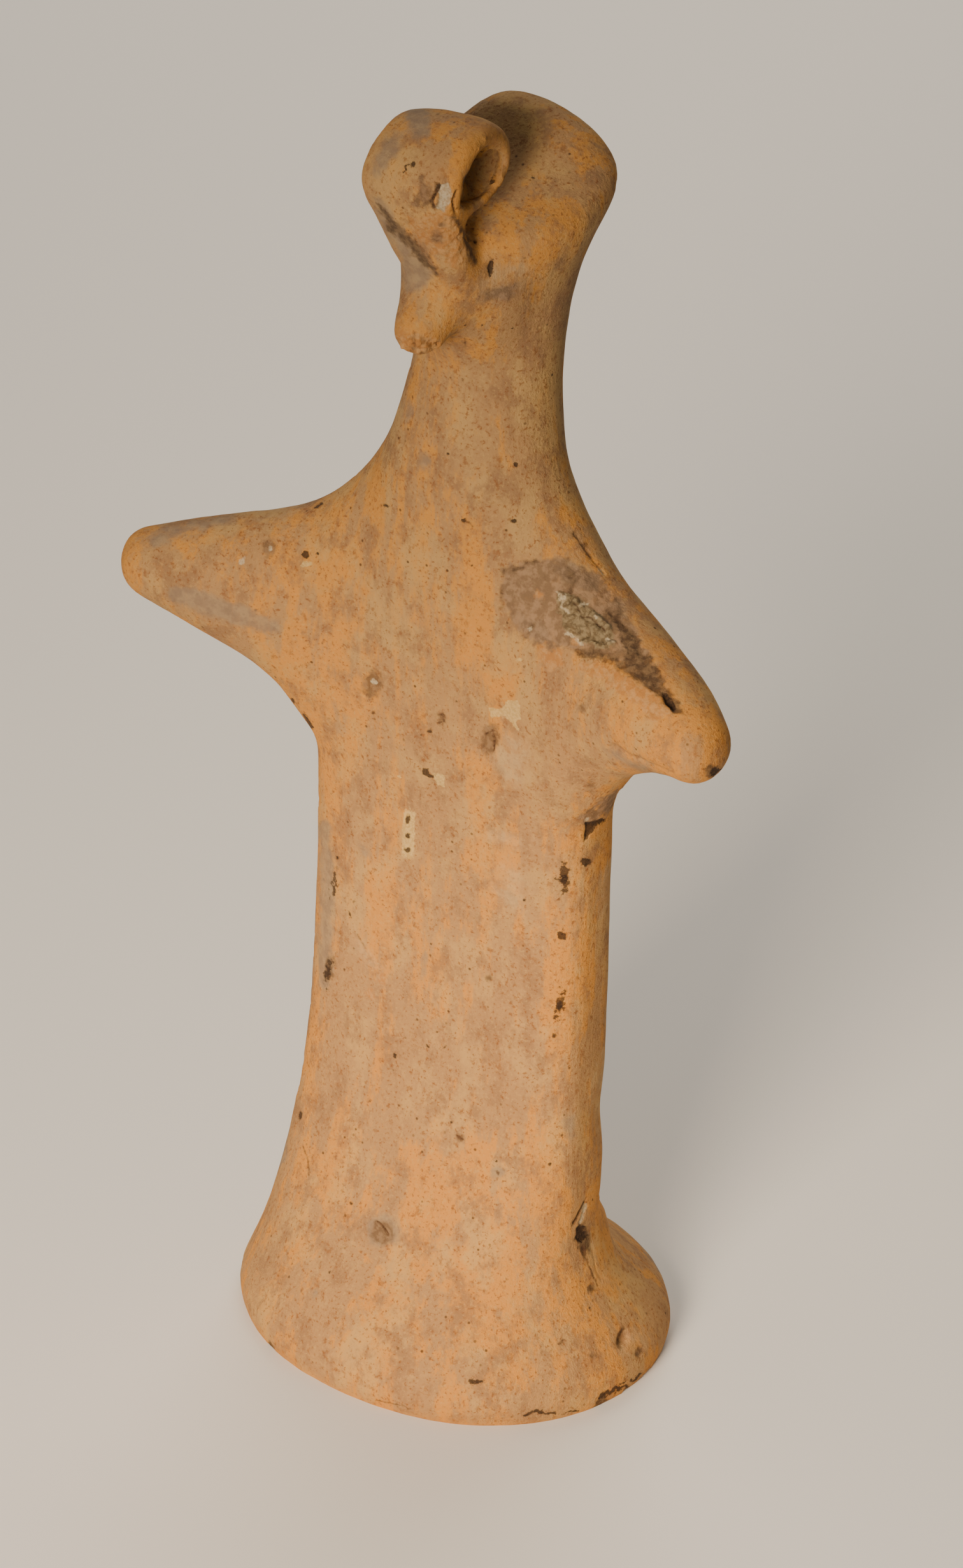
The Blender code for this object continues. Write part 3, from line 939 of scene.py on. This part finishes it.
    def refine(self, bm: bmesh.types.BMesh, marks: list[Mark]) -> None:
        """Halves the mesh where marks are small or cut into the clay.

        Args:
            bm: The skin's mesh.
            marks: The marks.
        """
        for ring in range(self.refine_rings):
            surface = Surface.of(bm, self.view)
            wanted = np.zeros(len(surface.points), bool)
            for mark in marks:
                if not mark.needs_fine_mesh():
                    continue
                near = mark.near(surface, self.refine_margin * 3)
                limit = self.refine_margin / (ring + 1)
                wanted[near[mark.distance(surface, near) < limit]] = True
            chosen = [e for e in bm.edges if wanted[e.verts[0].index] and wanted[e.verts[1].index]]
            bmesh.ops.subdivide_edges(bm, edges=chosen, cuts=1, use_grid_fill=True)
            bm.verts.index_update()

    def uneven(self, points: np.ndarray) -> np.ndarray:
        """Works out the hand's unevenness.

        Args:
            points: Places on the clay, one per row.

        Returns:
            Its height at each place.
        """
        height = np.zeros(len(points))
        for swell in self.swells:
            scale = Vector((1, 1, 1 / swell.drawn_out)) / swell.length
            shift = Vector((swell.seed, -swell.seed, swell.seed))
            values = [noise.noise(Vector(p) * scale + shift) for p in points]
            height += swell.height * np.array(values)
        return height

    def lumpy(self, points: np.ndarray) -> np.ndarray:
        """Works out how lumpy broken floors and crusts are.

        Args:
            points: Places on the clay, one per row.

        Returns:
            A value about -1 to 1 at each place.
        """
        lumps = [noise.noise(Vector(p) / self.lump_length) for p in points]
        crumbs = [noise.noise(Vector(p) / self.crumb_length) for p in points]
        return np.array(lumps) + self.crumb_share * np.array(crumbs)

    def press_marks(self, bm: bmesh.types.BMesh, marks: list[Mark]) -> dict[str, np.ndarray]:
        """Presses every mark into the clay. A third of its slope lies outside the mark's edge.

        Args:
            bm: The skin's mesh.
            marks: The marks.

        Returns:
            For each trace's attribute, the distance of each vertex to the nearest such mark's edge.
        """
        surface = Surface.of(bm, self.view)
        points = surface.points
        lumps = self.lumpy(points)
        relief = self.uneven(points)
        distances = {trace.value: np.full(len(points), FAR) for trace in Trace}
        for mark in marks:
            near = mark.near(surface, FAR)
            distance = mark.distance(surface, near)
            kept = distances[mark.trace.value]
            kept[near] = np.minimum(kept[near], distance)
            inside = smooth_step(distance, mark.edge / 3, -mark.edge * 2 / 3)
            relief[near] += inside * (mark.lumps * lumps[near] - mark.sink)
        moved = surface.normals * relief[:, None]
        moved[:, 2] *= smooth_step(points[:, 2], *self.sole_ease)
        moved += points
        for vertex, place in zip(bm.verts, moved):
            vertex.co = Vector(place) * MM
        return distances

    def hollows(self, bm: bmesh.types.BMesh) -> np.ndarray:
        """Measures how hollow the clay is round each vertex.

        Args:
            bm: The skin's mesh.

        Returns:
            Values above 0 in dips and creases, below 0 on edges.
        """
        surface = Surface.of(bm, self.view)
        points, normals = surface.points, surface.normals
        ends = np.array([[v.index for v in e.verts] for e in bm.edges])
        bend = np.zeros(len(points))
        count = np.zeros(len(points))
        for a, b in ((0, 1), (1, 0)):
            way = points[ends[:, b]] - points[ends[:, a]]
            length = np.maximum(np.linalg.norm(way, axis=1), 1e-6)
            np.add.at(bend, ends[:, a], np.sum(way * normals[ends[:, a]], axis=1) / length**2)
            np.add.at(count, ends[:, a], 1)
        bend /= np.maximum(count, 1)
        for _ in range(self.hollow_passes):
            total = bend.copy()
            for a, b in ((0, 1), (1, 0)):
                np.add.at(total, ends[:, a], bend[ends[:, b]])
            bend = total / (count + 1)
        return bend

    def build(self, source: bpy.types.Object) -> bpy.types.Object:
        """Makes the finished skin and lets it stand for the solid.

        Args:
            source: The CAD node's object.

        Returns:
            The finished piece.
        """
        noise.seed_set(self.wander_seed)
        skin = self.rounded_solid(source)
        bm = bmesh.new()
        bm.from_mesh(skin.data)
        self.soften(bm)
        self.cut_sole(bm)
        bm.verts.index_update()
        self.fill_out(bm)
        marks = self.marks(Surface.of(bm, self.view))
        self.refine(bm, marks)
        distances = self.press_marks(bm, marks)
        bmesh.ops.triangulate(bm, faces=bm.faces)
        bm.verts.index_update()
        distances["hollow"] = self.hollows(bm)
        bm.to_mesh(skin.data)
        bm.free()
        for name, values in distances.items():
            attribute = skin.data.attributes.new(name, "FLOAT", "POINT")
            attribute.data.foreach_set("value", values.astype(np.float32))
        skin.data.shade_smooth()
        skin.data.set_sharp_from_angle(angle=math.radians(self.sharp_angle))
        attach(skin, "root")
        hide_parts(self.node)
        return skin


def add_node(tree: bpy.types.NodeTree, kind: str, settings: dict[str, Any] | None = None,
             **sockets: Any) -> bpy.types.Node:
    """Adds a node with its settings and links.

    Args:
        tree: The node tree to add to.
        kind: The node's type, such as "ShaderNodeBump".
        settings: Properties of the node, by name.
        **sockets: Inputs by name, with spaces as underscores, or as i and the input's index. A
            socket is linked, and any other value is set on the input.

    Returns:
        The new node.
    """
    node = tree.nodes.new(kind)
    for name, value in (settings or {}).items():
        setattr(node, name, value)
    for name, value in sockets.items():
        plain = name.replace("_", " ")
        target = node.inputs[int(name[1:])] if name[1:].isdigit() else node.inputs[plain]
        if isinstance(value, Socket):
            tree.links.new(value, target)
        else:
            target.default_value = value
    return node


@dataclass(frozen=True)
class Pattern:
    """A noise on the clay, with values about 0.5.

    Attributes:
        length: The size of its features.
        detail: How many finer layers it has.
        drawn_out: How much longer its features are upwards than across.
        rough: How strong the finer layers are.
    """

    length: float
    detail: float = 5.0
    drawn_out: float = 1.0
    rough: float = 0.62


@dataclass(frozen=True)
class Band:
    """The values between which a colour comes in, in either order, and its share at most."""

    start: float
    end: float
    most: float | Socket = 1.0


@dataclass
class Coat:
    """The clay's colour while it is laid, one layer over another.

    Attributes:
        tree: The material's nodes.
        place: The place on the clay, in metres.
        colour: The colour so far, a socket or six hex digits.
    """

    tree: bpy.types.NodeTree
    place: Socket
    colour: Socket | str

    def value(self, pattern: Pattern) -> Socket:
        """Spreads a pattern over the clay.

        Args:
            pattern: The pattern.

        Returns:
            Its value.
        """
        stretch = (1, 1, 1 / pattern.drawn_out)
        mapped = add_node(self.tree, "ShaderNodeMapping", Vector=self.place, Scale=stretch)
        made = add_node(
            self.tree, "ShaderNodeTexNoise", Vector=mapped.outputs[0],
            Scale=1 / (pattern.length * MM), Detail=pattern.detail, Roughness=pattern.rough,
        )
        return made.outputs[0]

    def lay(self, colour: Socket | str, value: Socket, band: Band, blend: str = "MIX") -> None:
        """Lays a colour over the clay where a value says so.

        Args:
            colour: A socket or six hex digits.
            value: The value.
            band: Between which values the colour comes in.
            blend: How it is laid, such as "MULTIPLY" for a tint.
        """
        share = add_node(
            self.tree, "ShaderNodeMapRange", {"interpolation_type": "SMOOTHSTEP"}, Value=value,
            From_Min=band.start, From_Max=band.end, To_Min=0.0, To_Max=band.most,
        )
        under, over = (c if isinstance(c, Socket) else linear(c) for c in (self.colour, colour))
        way = {"data_type": "RGBA", "blend_type": blend}
        mixed = add_node(self.tree, "ShaderNodeMix", way, i0=share.outputs[0], i6=under, i7=over)
        self.colour = mixed.outputs[2]


@dataclass(frozen=True)
class Look:
    """How one trace looks on the clay.

    Attributes:
        trace: The trace.
        colour: Its colour.
        mottle: A second colour that spots it.
        noise: The length of the noise that frays its edge.
        fray: How far its edge frays.
        soft: Half the width of the edge's fade.
        share: How much of the clay it hides.
        spotting: The length of the spots, as a share of the noise's.
        spots: Where the second colour comes in.
    """

    trace: Trace
    colour: str
    mottle: str
    noise: float
    fray: float
    soft: float
    share: float
    spotting: float = 0.7
    spots: Band = Band(0.42, 0.6)

    def lay(self, coat: Coat) -> None:
        """Lays the trace wherever its marks are.

        Args:
            coat: The colour so far.
        """
        way = {"operation": "MULTIPLY_ADD"}
        marked = add_node(coat.tree, "ShaderNodeAttribute", {"attribute_name": self.trace.value})
        frayed = add_node(
            coat.tree, "ShaderNodeMath", way, i0=coat.value(Pattern(self.noise)),
            i1=self.fray * 2, i2=marked.outputs["Fac"],
        )
        mottled = Coat(coat.tree, coat.place, self.colour)
        mottled.lay(self.mottle, coat.value(Pattern(self.noise * self.spotting)), self.spots)
        band = Band(self.fray + self.soft, self.fray - self.soft, self.share)
        coat.lay(mottled.colour, frayed.outputs[0], band)


@dataclass(frozen=True)
class FiredClay:
    """Low-fired terracotta, smoothed by hand and never glazed.

    It is earthenware of about 800 degrees: matt, mottled between a greyish pink and a warm
    orange where the smoky air of the kiln and the wiping hand passed, freckled with rust and dark
    grit. Such clay scatters light evenly and has only a faint sheen at a grazing angle. Each
    band says where a colour comes in over those before it.

    The painted shade is a grey tint that the whole colour is multiplied by: the clay darkens and
    greys towards the head, where less light falls. It comes in between two heights, lower on the
    figurine's right, and in clouds.
    """

    pink: str = "AE8352"
    orange: str = "CA8A3E"
    buff: str = "C3995B"
    brown: str = "936C48"
    rust: str = "875026"
    grit: str = "4A2F1D"
    # painted shade: the darker brown laid in the clay's dips and creases
    hollow_shade: str = "7D5A3C"
    roughness: float = 0.88
    specular: float = 0.22
    cloud: Pattern = Pattern(11.0, 7.0, 3.0, 0.7)
    wipe: Pattern = Pattern(2.4, 5.0, 8.0, 0.65)
    wipe_share: float = 0.5
    patch: Pattern = Pattern(7.0, 7.0, 1.6, 0.7)
    smudge: Pattern = Pattern(4.0, 7.0, 1.5, 0.72)
    freckle: Pattern = Pattern(1.1, 4.0, 1.2, 0.7)
    # The real dust and grain are about 0.2 mm. They are drawn at 0.45 mm, or no pixel would
    # show them.
    dust: Pattern = Pattern(0.45, 3.0)
    grain: Pattern = Pattern(0.45, 4.0, 1.0, 0.7)
    stroke: Pattern = Pattern(1.3, 4.0, 6.0)
    bump_strength: float = 0.7
    bump_height: float = 0.3
    orange_band: Band = Band(0.72, 0.81)
    buff_band: Band = Band(0.48, 0.62, 0.7)
    brown_band: Band = Band(0.48, 0.64, 0.8)
    freckle_band: Band = Band(0.55, 0.7, 0.6)
    dust_band: Band = Band(0.57, 0.68, 0.75)
    pale_dust_band: Band = Band(0.44, 0.32, 0.5)
    grit_spacing: float = 1.5
    grit_edge: float = 0.17
    grit_core: float = 0.08
    few_grits: Band = Band(0.7, 0.95, 0.8)
    # where the painted shade of the dips comes in, by how hollow the clay is
    hollow_shade_band: Band = Band(0.03, 0.25, 0.6)
    rubbed_band: Band = Band(-0.06, -0.22, 0.6)
    # painted shade: the grey tint that darkens the clay towards the head
    upper_shade: str = "C9D0DC"
    upper_shade_from: float = 55.0
    upper_shade_to: float = 142.0
    upper_shade_share: float = 0.95
    upper_shade_slant: float = -0.3
    upper_shade_clouds: float = 40.0
    looks: tuple[Look, ...] = (
        Look(Trace.BLOOM, "CBAA78", "C2925A", 3.0, 3.0, 1.2, 0.4),
        # grey-brown stains; the same colour is also painted shade under the roll's bulge and in the
        # crease under the figurine's left arm
        Look(Trace.STAIN_AND_SHADE, "8A735A", "9E8462", 2.2, 1.2, 0.5, 0.8),
        Look(Trace.EROSION, "785E44", "9A7A5A", 1.9, 1.5, 0.4, 0.85),
        Look(Trace.RAW, "B4783C", "C08F57", 1.3, 1.4, 0.35, 0.8),
        Look(Trace.SPALL, "6A4E34", "8A6A4A", 1.0, 0.9, 0.35, 0.8),
        # dark earth specks and smudges; the same colour is also painted shade along the eroded
        # shoulder's edges, under the roll's bulge and in a dimple on the skirt
        Look(Trace.DIRT_AND_SHADE, "4C3724", "745A3C", 1.3, 1.0, 0.35, 0.85),
        Look(Trace.CRUST, "94805C", "6F5C3E", 1.0, 1.0, 0.25, 0.9),
        Look(Trace.SLIP, "D6B270", "C29E5C", 0.5, 0.3, 0.08, 0.85),
        Look(Trace.GRAIN, "CDBA94", "B59C76", 0.5, 0.4, 0.12, 0.8),
        # dark brown in cracks and pits; the same colour is also the painted shadow along the rim of
        # the roll's chip
        Look(Trace.CRACK_AND_SHADE, "42281A", "5A3C26", 0.5, 0.25, 0.14, 0.8),
        Look(Trace.WORN, "2C1F15", "3E2C1E", 0.7, 1.5, 0.2, 0.85),
        Look(Trace.PAINT, "2C1F15", "46301E", 0.45, 0.35, 0.08, 0.9),
    )

    def lay_clay(self, coat: Coat) -> None:
        """Lays the clay without its marks: clouds, wiping, mottling, freckles and dust.

        Args:
            coat: The colour so far.
        """
        tone = add_node(
            coat.tree, "ShaderNodeMath", {"operation": "MULTIPLY_ADD"}, i0=coat.value(self.wipe),
            i1=self.wipe_share, i2=coat.value(self.cloud),
        )
        dust = coat.value(self.dust)
        coat.lay(self.orange, tone.outputs[0], self.orange_band)
        coat.lay(self.buff, coat.value(self.patch), self.buff_band)
        coat.lay(self.brown, coat.value(self.smudge), self.brown_band)
        coat.lay(self.rust, coat.value(self.freckle), self.freckle_band)
        coat.lay(self.rust, dust, self.dust_band)
        coat.lay(self.buff, dust, self.pale_dust_band)

    def lay_grit(self, coat: Coat) -> None:
        """Lays dark grit, in a few of the cells that the clay is divided into.

        Args:
            coat: The colour so far.
        """
        spacing = self.grit_spacing * MM
        cells = add_node(
            coat.tree, "ShaderNodeTexVoronoi", Vector=coat.place, Scale=1 / spacing, Randomness=1.0
        )
        picked = add_node(coat.tree, "ShaderNodeSeparateColor", Color=cells.outputs["Color"])
        few = add_node(
            coat.tree, "ShaderNodeMapRange", {"interpolation_type": "SMOOTHSTEP"},
            Value=picked.outputs[0], From_Min=self.few_grits.start, From_Max=self.few_grits.end,
            To_Min=0.0, To_Max=self.few_grits.most,
        )
        dots = Band(self.grit_edge, self.grit_core, few.outputs[0])
        coat.lay(self.grit, cells.outputs["Distance"], dots)

    def lay_hollow_shade_and_rubbed_edges(self, coat: Coat) -> None:
        """Lays painted shade in a darker brown in the clay's dips and creases, and rubs its edges
        to a cleaner orange.

        Args:
            coat: The colour so far.
        """
        hollow = add_node(coat.tree, "ShaderNodeAttribute", {"attribute_name": "hollow"})
        # painted shade in the dips and creases, deeper where the clay is more hollow
        coat.lay(self.hollow_shade, hollow.outputs["Fac"], self.hollow_shade_band)
        coat.lay(self.orange, hollow.outputs["Fac"], self.rubbed_band)

    def lay_upper_shade(self, coat: Coat) -> None:
        """Paints shade: darkens and greys the clay towards the head, where less light falls.

        Args:
            coat: The colour so far.
        """
        way = {"operation": "MULTIPLY_ADD"}
        axes = add_node(coat.tree, "ShaderNodeSeparateXYZ", Vector=coat.place).outputs
        drift = add_node(
            coat.tree, "ShaderNodeMath", way, i0=axes["X"], i1=self.upper_shade_slant, i2=axes["Z"]
        )
        level = add_node(
            coat.tree, "ShaderNodeMath", way, i0=coat.value(self.patch), i1=self.upper_shade_clouds * MM,
            i2=drift.outputs[0],
        )
        lift = self.upper_shade_clouds / 2
        band = Band((self.upper_shade_from + lift) * MM, (self.upper_shade_to + lift) * MM, self.upper_shade_share)
        # painted shade, multiplied over the whole colour
        coat.lay(self.upper_shade, level.outputs[0], band, "MULTIPLY")

    def material(self) -> bpy.types.Material:
        """Builds the material.

        Returns:
            The material.
        """
        material = bpy.data.materials.new("fired_clay")
        material.use_nodes = True
        tree = material.node_tree
        shader = tree.nodes["Principled BSDF"]
        place = add_node(tree, "ShaderNodeTexCoord").outputs["Object"]
        coat = Coat(tree, place, self.pink)
        self.lay_clay(coat)
        self.lay_grit(coat)
        self.lay_hollow_shade_and_rubbed_edges(coat)
        for look in self.looks:
            look.lay(coat)
        self.lay_upper_shade(coat)
        height = add_node(
            tree, "ShaderNodeMath", {"operation": "ADD"}, i0=coat.value(self.grain),
            i1=coat.value(self.stroke),
        )
        bump = add_node(
            tree, "ShaderNodeBump", Strength=self.bump_strength, Distance=self.bump_height * MM,
            Height=height.outputs[0],
        )
        tree.links.new(coat.colour, shader.inputs["Base Color"])
        tree.links.new(bump.outputs[0], shader.inputs["Normal"])
        shader.inputs["Roughness"].default_value = self.roughness
        shader.inputs["Specular IOR Level"].default_value = self.specular
        shader.inputs["Metallic"].default_value = 0.0
        return material


@dataclass(frozen=True)
class Lamp:
    """A square soft lamp: its direction from the figurine, distance and size in metres, power."""

    name: str
    azimuth: float
    elevation: float
    distance: float
    size: float
    watts: float
    colour: str
    spread: float = 180.0

    def hang(self, aim: Vector) -> bpy.types.Object:
        """Hangs the lamp.

        Args:
            aim: The point that it shines at, in metres.

        Returns:
            The lamp.
        """
        data = bpy.data.lights.new(self.name, "AREA")
        data.energy = self.watts
        data.size = self.size
        data.color = linear(self.colour)[:3]
        data.spread = math.radians(self.spread)
        a, e = math.radians(self.azimuth), math.radians(self.elevation)
        back = Vector((math.sin(a) * math.cos(e), -math.cos(a) * math.cos(e), math.sin(e)))
        lamp = bpy.data.objects.new(self.name, data)
        lamp.location = aim + back * self.distance
        lamp.rotation_euler = back.to_track_quat("Z", "Y").to_euler()
        bpy.context.scene.collection.objects.link(lamp)
        return lamp


@dataclass
class Studio:
    """A plain pale floor and soft lamps. Its lengths are metres.

    The floor is backdrop paper: pale, warm white and quite matt, so that it takes soft shadows
    and gives no reflections.
    """

    floor_half_width: float = 3.0
    floor_colour: str = "E4DFD6"
    floor_roughness: float = 0.95
    sky_colour: str = "E4E2DE"
    sky_strength: float = 0.26
    lamps: tuple[Lamp, ...] = (
        Lamp("key", 11.0, 26.0, 0.6, 0.22, 0.8, "FFEBD4", 62.0),
        Lamp("fill", -70.0, 30.0, 1.1, 0.8, 0.8, "FFF4E6"),
        Lamp("back", 205.0, 45.0, 1.0, 0.7, 6.0, "FFF6EA"),
    )
    aim: tuple[float, float, float] = (0.0, 0.0, 0.018)

    def floor(self) -> bpy.types.Object:
        """Lays the floor under the figurine.

        Returns:
            The floor.
        """
        bm = bmesh.new()
        bmesh.ops.create_grid(bm, x_segments=1, y_segments=1, size=self.floor_half_width)
        mesh = bpy.data.meshes.new("floor")
        bm.to_mesh(mesh)
        bm.free()
        floor = bpy.data.objects.new("floor", mesh)
        bpy.context.scene.collection.objects.link(floor)
        material = bpy.data.materials.new("floor_paper")
        material.use_nodes = True
        shader = material.node_tree.nodes["Principled BSDF"]
        shader.inputs["Base Color"].default_value = linear(self.floor_colour)
        shader.inputs["Roughness"].default_value = self.floor_roughness
        mesh.materials.append(material)
        return floor

    def sky(self) -> None:
        """Gives the room an even pale light."""
        world = bpy.data.worlds.new("studio")
        world.use_nodes = True
        background = world.node_tree.nodes["Background"]
        background.inputs["Color"].default_value = linear(self.sky_colour)
        background.inputs["Strength"].default_value = self.sky_strength
        bpy.context.scene.world = world

    def build(self) -> None:
        """Sets the studio up round the figurine."""
        self.floor()
        self.sky()
        for lamp in self.lamps:
            lamp.hang(Vector(self.aim))


def main() -> None:
    """Builds the figurine, its finish, the studio and the camera."""
    body = ClayBody()
    skin = body.build(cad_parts[body.node])
    skin.data.materials.append(FiredClay().material())
    LOG.info("%s: %d triangles", skin.name, len(skin.data.polygons))
    studio = Studio()
    studio.build()
    LOG.info("studio: floor and %d lamps", len(studio.lamps))
    body.view.camera()


if __name__ == "__main__":
    logging.basicConfig(level=logging.INFO, format="%(name)s: %(message)s")
    main()
